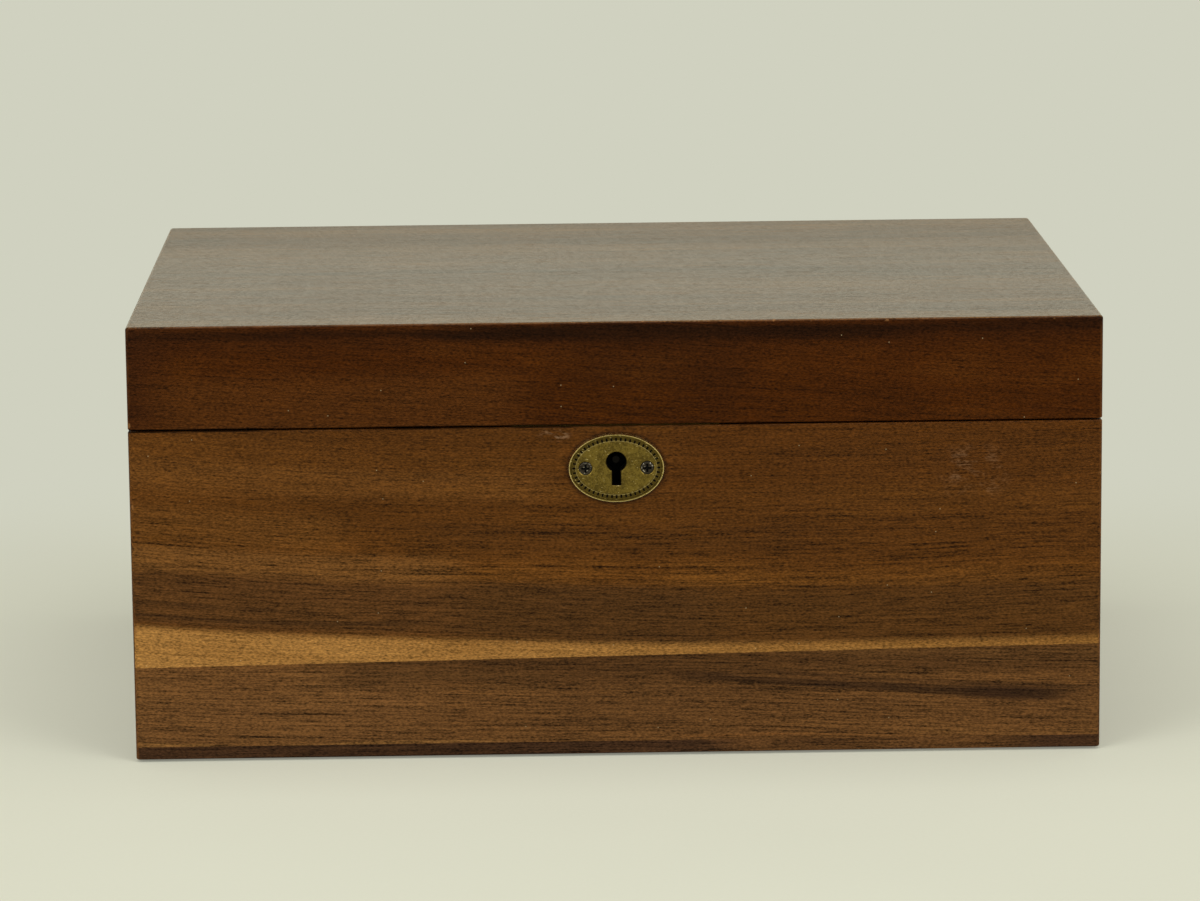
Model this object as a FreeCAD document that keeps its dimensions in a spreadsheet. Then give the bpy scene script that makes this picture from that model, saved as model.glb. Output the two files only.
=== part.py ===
import FreeCAD, Part
import Sketcher
import math
import os
import re

# A hinged wooden box with a mortised lock behind an oval keyhole plate.
# X runs to the right, Y to the back and Z up, from the middle of the footprint.

# Driving sizes, in millimetres and degrees
SIZES = {
    # carcass and lid
    "box_width": 300.0,
    "box_depth": 220.0,
    "body_height": 103.5,
    "lid_height": 32.0,
    "lid_gap": 0.5,
    "wall_thickness": 12.0,
    "top_thickness": 8.0,
    "corner_round": 1.5,
    "edge_round": 1.0,
    "rim_ease": 0.5,
    # glue lines of the front wall, above its foot
    "lower_joint_height": 4.0,
    "upper_joint_left": 29.2,
    "upper_joint_right": 33.0,
    # bottom board and felts
    "bottom_thickness": 6.0,
    "bottom_rebate": 6.0,
    "panel_clearance": 0.2,
    "base_felt_thickness": 0.8,
    "base_felt_inset": 6.0,
    "base_felt_corner": 5.0,
    "lining_thickness": 1.5,
    "lining_corner": 2.0,
    # stop hinges
    "hinge_inset": 55.0,
    "hinge_length": 32.0,
    "leaf_depth": 10.0,
    "leaf_thickness": 2.4,
    "knuckle_length": 6.6,
    "knuckle_gap": 0.3,
    "heel_length": 5.0,
    "hinge_pin_diameter": 2.0,
    "hinge_pin_clearance": 0.05,
    "swing_clearance": 0.35,
    "stop_angle": 95.0,
    "stop_play": 0.4,
    "leaf_screw_spacing": 18.0,
    "leaf_screw_inset": 6.0,
    # lock, measured down from the rim where the name says drop
    "lock_flange": 6.5,
    "lock_apron": 6.0,
    "lock_plate_thickness": 1.5,
    "selvage_depth": 8.5,
    "mortise_clearance": 0.1,
    "case_length": 51.0,
    "case_height": 22.5,
    "case_depth": 5.5,
    "case_wall": 0.8,
    "case_clearance": 0.4,
    "lock_screw_drop": 6.0,
    "key_drop": 11.05,
    "key_pin_diameter": 3.0,
    "key_pin_setback": 3.4,
    "key_pin_tip": 0.5,
    "key_pin_fit": 0.03,
    # bolt, its two guide stumps and its detent spring
    "bolt_end_play": 0.7,
    "bolt_thickness": 2.0,
    "bolt_throw": 4.0,
    "bolt_top_play": 0.5,
    "bolt_drop": 12.6,
    "hook_wall": 2.25,
    "talon_width": 6.0,
    "talon_drop": 5.7,
    "key_sweep_clearance": 0.1,
    "stump_inset": 5.0,
    "stump_diameter": 2.5,
    "stump_drop": 10.2,
    "stump_shoulder_diameter": 4.4,
    "stump_clearance": 0.15,
    "detent_inset": 1.0,
    "detent_depth": 0.5,
    "detent_half_width": 1.0,
    "spring_thickness": 0.4,
    "spring_width": 2.0,
    "spring_tail": 6.5,
    "spring_bump": 0.4,
    "spring_reach": 2.6,
    "spring_clearance": 0.3,
    # strike plate in the lid, with two staples that drop into the lock
    "strike_thickness": 1.5,
    "strike_screw_inset": 6.0,
    "staple_thickness": 1.6,
    "staple_width": 4.0,
    "staple_drop": 7.2,
    "staple_eye_width": 2.6,
    "staple_eye_drop": 3.0,
    "staple_eye_height": 2.8,
    "staple_side_play": 0.5,
    "staple_slot_play": 0.3,
    "finger_play": 0.4,
    # keyhole plate
    "plate_width": 30.0,
    "plate_height": 21.8,
    "plate_field": 1.1,
    "plate_rim": 1.5,
    "plate_bevel": 0.4,
    "plate_rim_width": 0.5,
    "plate_rim_slope": 0.2,
    "plate_groove_width": 1.5,
    "plate_groove": 0.15,
    "plate_lift": 1.9,
    "keyhole_diameter": 6.3,
    "keyhole_slot_width": 2.8,
    "keyhole_slot_drop": 7.35,
    "keyhole_ease": 0.2,
    "keyhole_relief": 0.3,
    "pit_inset": 1.95,
    "pit_length": 1.0,
    "pit_width": 0.55,
    "pit_depth": 0.5,
    "plate_screw_inset": 5.5,
    "plate_seat_mouth": 0.25,
    # countersunk screws: small ones for hinges, lock and strike, short ones for the plate
    "screw_head": 4.2,
    "screw_shank": 2.0,
    "screw_length": 8.5,
    "plate_screw_head": 4.0,
    "plate_screw_crown": 0.35,
    "plate_screw_shank": 1.8,
    "plate_screw_length": 4.8,
    "screw_tip": 1.2,
    "screw_drive_width": 0.7,
    "screw_drive_depth": 0.7,
    "screw_clearance": 0.05,
}
PIT_COUNT = 48

# Places worked out from those sizes
PLACES = {
    "half_width": "box_width / 2",
    "half_depth": "box_depth / 2",
    "inner_half_width": "half_width - wall_thickness",
    "inner_half_depth": "half_depth - wall_thickness",
    "foot": "base_felt_thickness",
    "rim": "foot + body_height",
    "lid_foot": "rim + lid_gap",
    "crown": "lid_foot + lid_height",
    "floor": "foot + bottom_thickness",
    "joint_slope": "(upper_joint_right - upper_joint_left) / box_width",
    "joint_middle": "foot + (upper_joint_left + upper_joint_right) / 2",
    "hinge_axis": "rim + lid_gap / 2",
    "hinge_offset": "half_width - hinge_inset",
    "knuckle_radius": "leaf_thickness + lid_gap / 2",
    "knuckle_pitch": "knuckle_length + knuckle_gap",
    "knuckle_span": "knuckle_length * 3 + knuckle_gap * 2",
    "heel_tangent": "tan((stop_angle + stop_play) / 2)",
    "lock_length": "case_length + lock_flange * 2",
    "lock_height": "lock_plate_thickness + case_height + lock_apron",
    "lock_screw_spacing": "case_length + lock_flange",
    "lock_screw_rows": "lock_height - lock_screw_drop * 2",
    "lock_face": "0 - inner_half_depth - lock_plate_thickness",
    "case_front": "lock_face - case_depth",
    "case_inside": "case_front + case_wall",
    "bolt_middle": "(lock_face + case_inside) / 2",
    "bolt_length": "case_length - case_wall * 2 - bolt_throw - bolt_end_play * 2",
    "stump_spacing": "bolt_length - stump_inset * 2",
    "staple_spacing": "(key_sweep + hook_wall + bolt_throw + notch_half) * 2",
    "detent_offset": "stump_spacing / 2 - detent_inset",
    "strike_screw_spacing": "lock_length - strike_screw_inset * 2",
    "selvage_front": "0 - inner_half_depth - selvage_depth",
    "finger_top": "staple_eye_drop + finger_play",
    "finger_foot": "staple_eye_drop + staple_eye_height - finger_play",
    "notch_floor": "staple_drop + finger_play",
    "notch_half": "staple_thickness / 2 + staple_side_play",
    "key_level": "rim - key_drop",
    "key_sweep": "keyhole_slot_drop + key_sweep_clearance",
    "plate_level": "key_level - plate_lift",
    "plate_face": "0 - half_depth - plate_field",
    "plate_screw_spacing": "plate_width - plate_screw_inset * 2",
    "screw_head_depth": "(screw_head - screw_shank) / 2",
    "plate_screw_head_depth": "(plate_screw_head - plate_screw_shank) / 2",
}
OVERCUT = 2.0  # how far a cut runs past the face that it opens
TOUCH = 1e-4  # two levels closer than this are one level

X_AXIS = FreeCAD.Vector(1, 0, 0)
Y_AXIS = FreeCAD.Vector(0, 1, 0)
Z_AXIS = FreeCAD.Vector(0, 0, 1)

doc = FreeCAD.newDocument("hinged_box")
sheet = doc.addObject("Spreadsheet::Sheet", "Sizes")
for row, (size_name, size) in enumerate(SIZES.items(), start=1):
    sheet.set(f"A{row}", size_name)
    sheet.set(f"B{row}", str(size))
    sheet.setAlias(f"B{row}", size_name)
doc.recompute()


# Expressions on the sheet

def formula(text):
    # Turns the names of sizes and places into an expression on the sheet
    def named(match):
        word = match.group(0)
        if word in PLACES:
            return f"({formula(PLACES[word])})"
        return f"Sizes.{word}" if word in SIZES else word
    return re.sub(r"[a-z_]{2,}", named, str(text))


def value(text):
    return float(sheet.evalExpression(formula(text)))


def bind(item, sizes):
    for name, text in sizes.items():
        item.setExpression(name, formula(text))
    return item


def put(item, spot, direction=Z_AXIS):
    # Sets a shape's own Z along a direction and binds its place
    turn = FreeCAD.Rotation(Z_AXIS, direction)
    item.Placement = FreeCAD.Placement(FreeCAD.Vector(), turn)
    return bind(item, {f"Placement.Base.{axis}": text for axis, text in zip("xyz", spot)})


# Bodies and their features

def new_body(label):
    body = doc.addObject("PartDesign::Body", label)
    body.Label = label
    return body


def settle(body, before=None):
    # Works a body out, and makes sure that a cut took something away
    doc.recompute()
    if before is not None and body.Shape.Volume > before - TOUCH:
        raise RuntimeError(f"{body.Label}: {body.Tip.Name} cut nothing")
    return body


def feature(body, kind, name, sizes, spot=None, direction=Z_AXIS):
    before = body.Shape.Volume if kind.startswith("Subtractive") else None
    item = bind(body.newObject(f"PartDesign::{kind}", f"{body.Label}_{name}"), sizes)
    if spot:
        put(item, spot, direction)
    settle(body, before)
    return item


def block(body, kind, name, x_span, y_span, z_span):
    spans = (x_span, y_span, z_span)
    sizes = {key: f"({high}) - ({low})" for key, (low, high) in zip(("Length", "Width", "Height"), spans)}
    return feature(body, f"{kind}Box", name, sizes, [low for low, high in spans])


def rod(body, kind, name, radius, length, spot, direction):
    return feature(body, f"{kind}Cylinder", name, {"Radius": radius, "Height": length}, spot, direction)


def outline(body, name, plane, points, offset="0"):
    # A closed outline of straight lines, each corner bound to its own two expressions
    sketch = body.newObject("Sketcher::SketchObject", f"{body.Label}_{name}_sketch")
    origin = {item.Role: item for item in body.Origin.OriginFeatures}
    sketch.AttachmentSupport = (origin[plane], [""])
    sketch.MapMode = "FlatFace"
    bind(sketch, {"AttachmentOffset.Base.z": offset})
    corners = [FreeCAD.Vector(value(across), value(up), 0) for across, up in points]
    count = len(corners)
    for index in range(count):
        sketch.addGeometry(Part.LineSegment(corners[index], corners[(index + 1) % count]))
    for index in range(count):
        sketch.addConstraint(Sketcher.Constraint("Coincident", index, 2, (index + 1) % count, 1))
    for index, corner in enumerate(points):
        for kind, text in zip(("DistanceX", "DistanceY"), corner):
            rule = sketch.addConstraint(Sketcher.Constraint(kind, -1, 1, index, 1, value(text)))
            bind(sketch, {f"Constraints[{rule}]": text})
    return sketch


def pad(body, name, sketch, length):
    item = body.newObject("PartDesign::Pad", f"{body.Label}_{name}")
    item.Profile = sketch
    bind(item, {"Length": length})
    settle(body)
    return item


def cut_through(body, name, sketch):
    before = body.Shape.Volume
    item = body.newObject("PartDesign::Pocket", f"{body.Label}_{name}")
    item.Profile = sketch
    item.SideType = "Two sides"
    item.Type = "ThroughAll"
    item.Type2 = "ThroughAll"
    settle(body, before)
    return item


def ease(body, name, radius, chosen):
    # Rounds the edges that the test picks
    base = body.Tip
    edges = [f"Edge{n}" for n, edge in enumerate(base.Shape.Edges, start=1) if chosen(edge)]
    item = body.newObject("PartDesign::Fillet", f"{body.Label}_{name}")
    item.Base = (base, edges)
    bind(item, {"Radius": radius})
    settle(body)
    return item


def upright(edge):
    box = edge.BoundBox
    return box.XLength < TOUCH and box.YLength < TOUCH


def level_at(text):
    height = value(text)
    return lambda edge: abs(edge.BoundBox.ZMin - height) < TOUCH and edge.BoundBox.ZLength < TOUCH


# Mitred boards. Each starts as the whole outer block, so that neighbours share their eased corners,
# and is cut back along its mitres. A board's own directions are along it and outward.

SIDES = {
    "front": lambda along, out: (along, f"0 - ({out})"),
    "back": lambda along, out: (f"0 - ({along})", out),
    "left": lambda along, out: (f"0 - ({out})", f"0 - ({along})"),
    "right": lambda along, out: (out, along),
}
SECTION_PLANES = {"front": "YZ_Plane", "back": "YZ_Plane", "left": "XZ_Plane", "right": "XZ_Plane"}


def half_sizes(side):
    halves = ("half_width", "half_depth")
    return halves if side in ("front", "back") else halves[::-1]


def section(side, points):
    # Points of a cross-section, given outward and up, in the plane across the board
    outward = 1 if side in ("front", "back") else 0
    return [(SIDES[side]("0", out)[outward], up) for out, up in points]


def mitred_board(label, side, low, high, foot_round=None, head_round=None):
    body = new_body(label)
    block(body, "Additive", "blank", ("0 - half_width", "half_width"),
          ("0 - half_depth", "half_depth"), (low, high))
    ease(body, "corners", "corner_round", upright)
    if head_round:
        ease(body, "head", head_round, level_at(high))
    if foot_round:
        ease(body, "foot", foot_round, level_at(low))
    along, out = half_sizes(side)
    waste = [
        (f"0 - {along} - {OVERCUT}", f"{out} + {OVERCUT}"),
        (f"wall_thickness - {along}", f"{out} - wall_thickness"),
        (f"{along} - wall_thickness", f"{out} - wall_thickness"),
        (f"{along} + {OVERCUT}", f"{out} + {OVERCUT}"),
        (f"{along} + {OVERCUT}", f"0 - {out} - {OVERCUT}"),
        (f"0 - {along} - {OVERCUT}", f"0 - {out} - {OVERCUT}"),
    ]
    corners = [SIDES[side](*corner) for corner in waste]
    cut_through(body, "mitres", outline(body, "mitres", "XY_Plane", corners))
    return body


def bottom_rebate(body):
    reach_x = "inner_half_width + bottom_rebate"
    reach_y = "inner_half_depth + bottom_rebate"
    block(body, "Subtractive", "bottom_rebate", (f"0 - ({reach_x})", reach_x), (f"0 - ({reach_y})", reach_y),
          (f"foot - {OVERCUT}", "floor"))


def cut_along_joint(body, keep_above):
    # Cuts a stave of the front wall along the sloping upper glue line
    reach = f"(half_width + {OVERCUT})"
    far = f"foot - {OVERCUT}" if keep_above else f"rim + {OVERCUT}"
    waste = [
        (f"0 - {reach}", f"joint_middle - joint_slope * {reach}"),
        (reach, f"joint_middle + joint_slope * {reach}"),
        (reach, far),
        (f"0 - {reach}", far),
    ]
    cut_through(body, "joint", outline(body, "joint", "XZ_Plane", waste))


def screw_places(kind):
    # Where each group of screws sits, as the top of the head and the way that the point looks
    if kind in ("hinge_body_screws", "hinge_lid_screws"):
        level, direction = ("rim", -Z_AXIS) if kind == "hinge_body_screws" else ("lid_foot", Z_AXIS)
        spots = [(f"{side} * hinge_offset + {end} * leaf_screw_spacing / 2",
                  "half_depth - leaf_screw_inset", level) for side in (-1, 1) for end in (-1, 1)]
        return spots, direction
    if kind == "strike_screws":
        spots = [(f"{end} * strike_screw_spacing / 2", "0 - inner_half_depth - selvage_depth / 2", "rim")
                 for end in (-1, 1)]
        return spots, Z_AXIS
    if kind == "lock_screws":
        spots = [(f"{end} * lock_screw_spacing / 2", "0 - inner_half_depth",
                  f"rim - lock_screw_drop - {row} * lock_screw_rows") for end in (-1, 1) for row in (0, 1)]
        return spots, -Y_AXIS
    spots = [(f"{end} * plate_screw_spacing / 2", "plate_face", "plate_level") for end in (-1, 1)]
    return spots, Y_AXIS


def screw_sizes(kind):
    return "plate_screw" if kind == "escutcheon_screws" else "screw"


def screw_holes(body, kind, countersunk=False, inside=None):
    # Bores a group's holes, for the shanks alone or with a seat for the heads
    size = screw_sizes(kind)
    spots, direction = screw_places(kind)
    for number, spot in enumerate(spots, start=1):
        if inside and not inside(spot):
            continue
        rod(body, "Subtractive", f"{kind}_{number}", f"{size}_shank / 2 + screw_clearance",
            f"{size}_length + screw_clearance * 4", spot, direction)
        if countersunk:
            cone = {"Radius1": f"{size}_head / 2 + screw_clearance",
                    "Radius2": f"{size}_shank / 2 + screw_clearance", "Height": f"{size}_head_depth"}
            feature(body, "SubtractiveCone", f"{kind}_{number}_seat", cone, spot, direction)


# Carcass

def front_staves():
    upper = mitred_board("front_upper_stave", "front", "foot + lower_joint_height", "rim",
                         head_round="rim_ease")
    cut_along_joint(upper, keep_above=True)
    lock_mortise(upper)
    keyhole(upper, "0 - half_depth", "keyhole_relief")
    screw_holes(upper, "lock_screws")
    screw_holes(upper, "escutcheon_screws")
    lower = mitred_board("front_lower_stave", "front", "foot + lower_joint_height", "rim")
    cut_along_joint(lower, keep_above=False)
    bottom_rebate(lower)
    strip = mitred_board("front_bottom_stave", "front", "foot", "foot + lower_joint_height",
                         foot_round="rim_ease")
    bottom_rebate(strip)
    return [upper, lower, strip]


def plain_walls():
    walls = []
    for side in ("back", "left", "right"):
        wall = mitred_board(f"{side}_wall", side, "foot", "rim", "rim_ease", "rim_ease")
        bottom_rebate(wall)
        walls.append(wall)
    above = f"rim + {OVERCUT}"
    hinge_mortises(walls[0], ("rim - leaf_thickness", above),
                   ("rim - leaf_thickness - swing_clearance", above))
    screw_holes(walls[0], "hinge_body_screws")
    return walls


def panel(label, reach_x, reach_y, low, high, corner=None):
    body = new_body(label)
    block(body, "Additive", "sheet", (f"0 - ({reach_x})", reach_x), (f"0 - ({reach_y})", reach_y),
          (low, high))
    if corner:
        ease(body, "corners", corner, upright)
    return body


def bottom_and_felts():
    return [
        panel("bottom_panel", "inner_half_width + bottom_rebate - panel_clearance",
              "inner_half_depth + bottom_rebate - panel_clearance", "foot", "floor"),
        panel("floor_lining", "inner_half_width - panel_clearance", "inner_half_depth - panel_clearance",
              "floor", "floor + lining_thickness", "lining_corner"),
        panel("base_felt", "half_width - base_felt_inset", "half_depth - base_felt_inset",
              "0", "foot", "base_felt_corner"),
    ]


# Lid

def lid_rails():
    rails = {}
    for side in SIDES:
        rail = mitred_board(f"lid_{side}_rail", side, "lid_foot", "crown", "rim_ease", "edge_round")
        out = half_sizes(side)[1]
        seat = [
            (f"{out} + {OVERCUT}", f"crown + {OVERCUT}"),
            (f"{out} - top_thickness", "crown - top_thickness"),
            (f"{out} - wall_thickness - {OVERCUT}", "crown - top_thickness"),
            (f"{out} - wall_thickness - {OVERCUT}", f"crown + {OVERCUT}"),
        ]
        cut_through(rail, "seat", outline(rail, "seat", SECTION_PLANES[side], section(side, seat)))
        rails[side] = rail
    below = f"lid_foot - {OVERCUT}"
    hinge_mortises(rails["back"], (below, "lid_foot + leaf_thickness"),
                   (below, "lid_foot + leaf_thickness + swing_clearance"))
    screw_holes(rails["back"], "hinge_lid_screws")
    reach = "lock_length / 2 + mortise_clearance"
    block(rails["front"], "Subtractive", "strike_mortise", (f"0 - ({reach})", reach),
          ("selvage_front - mortise_clearance", f"{OVERCUT} - inner_half_depth"),
          (below, "rim + strike_thickness"))
    screw_holes(rails["front"], "strike_screws")
    return list(rails.values())


def lid_top():
    body = new_body("lid_top")
    block(body, "Additive", "blank", ("0 - half_width", "half_width"), ("0 - half_depth", "half_depth"),
          ("crown - top_thickness", "crown"))
    ease(body, "corners", "corner_round", upright)
    ease(body, "edges", "edge_round", level_at("crown"))
    for side in SIDES:
        out = half_sizes(side)[1]
        waste = [
            (f"{out} + {OVERCUT}", f"crown + {OVERCUT}"),
            (f"{out} - top_thickness - {OVERCUT}", f"crown - top_thickness - {OVERCUT}"),
            (f"{out} + {OVERCUT}", f"crown - top_thickness - {OVERCUT}"),
        ]
        cut_through(body, side, outline(body, side, SECTION_PLANES[side], section(side, waste)))
    return body


# Stop hinges. The knuckles turn in the middle of the leaves, and the leaves' heels, cut back on both
# sides of the pin, meet when the lid is fully open.

HINGE_SIDES = {"left": "0 - hinge_offset", "right": "hinge_offset"}


def hinge_mortises(board, leaf_levels, relief_levels):
    # Recesses for the leaves, a little deeper under the turning knuckles
    behind = f"half_depth + {OVERCUT}"
    for side, middle in HINGE_SIDES.items():
        reach = "(hinge_length / 2 + mortise_clearance)"
        block(board, "Subtractive", f"{side}_leaf_mortise", (f"{middle} - {reach}", f"{middle} + {reach}"),
              ("half_depth - leaf_depth - mortise_clearance", behind), leaf_levels)
        reach = "(knuckle_span / 2 + mortise_clearance)"
        block(board, "Subtractive", f"{side}_knuckle_relief", (f"{middle} - {reach}", f"{middle} + {reach}"),
              ("half_depth - knuckle_radius - swing_clearance", behind), relief_levels)


def hinge_leaf(label, middle, on_lid):
    body = new_body(label)
    face, back = ("lid_foot", "lid_foot + leaf_thickness") if on_lid else ("rim", "rim - leaf_thickness")
    low, high = (face, back) if on_lid else (back, face)
    half = "hinge_length / 2"
    block(body, "Additive", "plate", (f"{middle} - {half}", f"{middle} + {half}"),
          ("half_depth - leaf_depth", "half_depth"), (low, high))
    heel = [
        ("half_depth", face),
        ("half_depth + lid_gap / 2 / heel_tangent", face),
        ("half_depth + knuckle_radius / heel_tangent", back),
        ("half_depth", back),
    ]
    for end, start in (("left", f"{middle} - {half}"), ("right", f"{middle} + {half} - heel_length")):
        pad(body, f"{end}_heel", outline(body, f"{end}_heel", "YZ_Plane", heel, start), "heel_length")
    for number in (-1, 0, 1):
        own = (number == 0) == on_lid
        start = f"{middle} + {number} * knuckle_pitch - knuckle_length / 2"
        spot = (start if own else f"{start} - knuckle_gap", "half_depth", "hinge_axis")
        length = "knuckle_length" if own else "knuckle_length + knuckle_gap * 2"
        radius = "knuckle_radius" if own else "knuckle_radius + swing_clearance"
        rod(body, "Additive" if own else "Subtractive", f"knuckle_{number + 2}", radius, length, spot, X_AXIS)
    rod(body, "Subtractive", "pin_bore", "hinge_pin_diameter / 2 + hinge_pin_clearance",
        f"hinge_length + {OVERCUT * 2}",
        (f"{middle} - {half} - {OVERCUT}", "half_depth", "hinge_axis"), X_AXIS)
    kind = "hinge_lid_screws" if on_lid else "hinge_body_screws"
    near = value(middle)
    screw_holes(body, kind, countersunk=True, inside=lambda spot: abs(value(spot[0]) - near) < value(half))
    return body


def hinge_pin(label, middle):
    body = new_body(label)
    rod(body, "Additive", "rod", "hinge_pin_diameter / 2", "hinge_length",
        (f"{middle} - hinge_length / 2", "half_depth", "hinge_axis"), X_AXIS)
    ease(body, "ends", "hinge_pin_diameter / 5", lambda edge: edge.BoundBox.XLength < TOUCH)
    return body


def hinges():
    pieces = []
    for side, middle in HINGE_SIDES.items():
        pieces.append(hinge_leaf(f"{side}_hinge_body_leaf", middle, on_lid=False))
        pieces.append(hinge_leaf(f"{side}_hinge_lid_leaf", middle, on_lid=True))
        pieces.append(hinge_pin(f"{side}_hinge_pin", middle))
    return pieces


# Lock and strike

def keyhole(body, front, relief="0"):
    # A round hole for the key's barrel with a slot below it for the bit
    deep = f"(lock_plate_thickness + case_depth + half_depth - inner_half_depth) + {OVERCUT}"
    rod(body, "Subtractive", "keyhole_round", f"keyhole_diameter / 2 + {relief}", deep,
        ("0", f"{front} - {OVERCUT}", "key_level"), Y_AXIS)
    half = f"(keyhole_slot_width / 2 + {relief})"
    block(body, "Subtractive", "keyhole_slot", (f"0 - {half}", half), (f"{front} - {OVERCUT}", "lock_face"),
          (f"key_level - keyhole_slot_drop - {relief}", "key_level"))


def lock_mortise(board):
    reach = "lock_length / 2 + mortise_clearance"
    span = (f"0 - ({reach})", reach)
    inner = f"{OVERCUT} - inner_half_depth"
    above = f"rim + {OVERCUT}"
    block(board, "Subtractive", "selvage_mortise", span, ("selvage_front - mortise_clearance", inner),
          ("rim - lock_plate_thickness", above))
    block(board, "Subtractive", "plate_mortise", span, ("lock_face", inner),
          ("rim - lock_height - mortise_clearance", above))
    reach = "case_length / 2 + case_clearance"
    block(board, "Subtractive", "case_mortise", (f"0 - ({reach})", reach),
          ("case_front - case_clearance", inner),
          ("rim - lock_plate_thickness - case_height - case_clearance", above))


def lock_plate():
    body = new_body("lock_plate")
    span = ("0 - lock_length / 2", "lock_length / 2")
    block(body, "Additive", "plate", span, ("lock_face", "0 - inner_half_depth"),
          ("rim - lock_height", "rim"))
    block(body, "Additive", "selvage", span, ("selvage_front", "0 - inner_half_depth"),
          ("rim - lock_plate_thickness", "rim"))
    shoulder = "lock_face - bolt_middle - bolt_thickness / 2 - stump_clearance"
    for end in (-1, 1):
        spot = (f"{end} * stump_spacing / 2", "lock_face", "rim - stump_drop")
        rod(body, "Additive", f"shoulder_{end + 2}", "stump_shoulder_diameter / 2", shoulder, spot, -Y_AXIS)
        rod(body, "Additive", f"stump_{end + 2}", "stump_diameter / 2",
            "lock_face - case_inside", spot, -Y_AXIS)
        middle = f"{end} * staple_spacing / 2"
        half_x = "(staple_thickness / 2 + staple_slot_play)"
        half_y = "(staple_width / 2 + staple_slot_play)"
        block(body, "Subtractive", f"staple_slot_{end + 2}", (f"{middle} - {half_x}", f"{middle} + {half_x}"),
              (f"bolt_middle - {half_y}", f"bolt_middle + {half_y}"),
              (f"rim - lock_plate_thickness - {OVERCUT / 4}", f"rim + {OVERCUT}"))
    rod(body, "Subtractive", "pin_hole", "key_pin_diameter / 2 + key_pin_fit",
        f"lock_plate_thickness + {OVERCUT * 2}", ("0", f"{OVERCUT} - inner_half_depth", "key_level"), -Y_AXIS)
    screw_holes(body, "lock_screws", countersunk=True)
    return body


def lock_case():
    # A shallow tray behind the keyhole, open to the plate and to the selvage
    body = new_body("lock_case")
    top = "rim - lock_plate_thickness"
    half = "case_length / 2"
    block(body, "Additive", "tray", (f"0 - {half}", half), ("case_front", "lock_face"),
          (f"{top} - case_height", top))
    half = "(case_length / 2 - case_wall)"
    block(body, "Subtractive", "inside", (f"0 - {half}", half), ("case_inside", f"lock_face + {OVERCUT}"),
          (f"{top} - case_height + case_wall", f"{top} + {OVERCUT}"))
    keyhole(body, "case_front")
    return body


def key_pin():
    body = new_body("key_pin")
    length = "half_depth - key_pin_setback - inner_half_depth"
    rod(body, "Additive", "rod", "key_pin_diameter / 2", length,
        ("0", "0 - inner_half_depth", "key_level"), -Y_AXIS)
    tip = value("key_pin_setback - half_depth")
    ease(body, "tip", "key_pin_tip",
         lambda edge: abs(edge.BoundBox.YMin - tip) < TOUCH and edge.BoundBox.YLength < TOUCH)
    return body


def lock_bolt():
    # Unlocked at rest. It slides to the right, and its two fingers then run through the staples' eyes.
    body = new_body("lock_bolt")
    left = "0 - (bolt_length + bolt_throw) / 2"
    right = "(bolt_length - bolt_throw) / 2"
    hooks = []
    for middle in ("0 - staple_spacing / 2", "staple_spacing / 2"):
        root = f"{middle} - bolt_throw - notch_half"
        tip = f"{middle} - notch_half"
        far = f"{middle} + notch_half"
        hooks.append([(root, "finger_top"), (tip, "finger_top"), (tip, "finger_foot"), (root, "finger_foot"),
                      (root, "notch_floor"), (far, "notch_floor")])
    top = "lock_plate_thickness + bolt_top_play"
    talon_top = "key_drop - key_sweep"
    talon_left = "0 - (talon_width + bolt_throw) / 2"
    talon_right = "(talon_width - bolt_throw) / 2"
    detents = []
    for place in ("0 - detent_offset", "0 - detent_offset - bolt_throw"):
        detents += [(f"{place} + detent_half_width", "bolt_drop"), (place, "bolt_drop - detent_depth"),
                    (f"{place} - detent_half_width", "bolt_drop")]
    drops = [
        (left, "finger_top"), *hooks[0][1:], (hooks[0][-1][0], top),
        (hooks[1][0][0], top), *hooks[1], (hooks[1][-1][0], "finger_top"),
        (right, "finger_top"), (right, "bolt_drop"), ("key_sweep", "bolt_drop"), ("key_sweep", "talon_drop"),
        (talon_right, "talon_drop"), (talon_right, talon_top),
        (talon_left, talon_top), (talon_left, "talon_drop"),
        ("0 - key_sweep - bolt_throw", "talon_drop"), ("0 - key_sweep - bolt_throw", "bolt_drop"),
        *detents, (left, "bolt_drop"),
    ]
    profile = [(across, f"rim - ({drop})") for across, drop in drops]
    pad(body, "blank", outline(body, "blank", "XZ_Plane", profile, "0 - bolt_middle - bolt_thickness / 2"),
        "bolt_thickness")
    half = "(stump_diameter / 2 + stump_clearance)"
    for end in (-1, 1):
        middle = f"{end} * stump_spacing / 2"
        block(body, "Subtractive", f"slot_{end + 2}",
              (f"{middle} - bolt_throw - {half}", f"{middle} + {half}"),
              ("bolt_middle - bolt_thickness", "bolt_middle + bolt_thickness"),
              (f"rim - stump_drop - {half}", f"rim - stump_drop + {half}"))
    return body


def lock_spring():
    # A bent leaf, fixed at the case's end, whose bump clicks into the bolt's detents
    body = new_body("lock_spring")
    wall = "case_wall - case_length / 2"
    bump = "0 - detent_offset"
    tip_drop = "bolt_drop + spring_clearance"
    arm_drop = f"{tip_drop} + spring_bump"
    upper = [
        (wall, f"{arm_drop} + spring_tail"),
        (wall, f"{arm_drop} + spring_thickness"),
        (f"{bump} - detent_half_width", arm_drop),
        (bump, tip_drop),
        (f"{bump} + detent_half_width", arm_drop),
        (f"{bump} + spring_reach", arm_drop),
    ]
    lower = [(across, f"{drop} + spring_thickness") for across, drop in upper[:1:-1]]
    tail = [(f"{wall} + spring_thickness", f"{arm_drop} + spring_thickness * 2"),
            (f"{wall} + spring_thickness", f"{arm_drop} + spring_tail")]
    profile = [(across, f"rim - ({drop})") for across, drop in upper + lower + tail]
    pad(body, "leaf", outline(body, "leaf", "XZ_Plane", profile, "0 - bolt_middle - spring_width / 2"),
        "spring_width")
    return body


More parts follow.
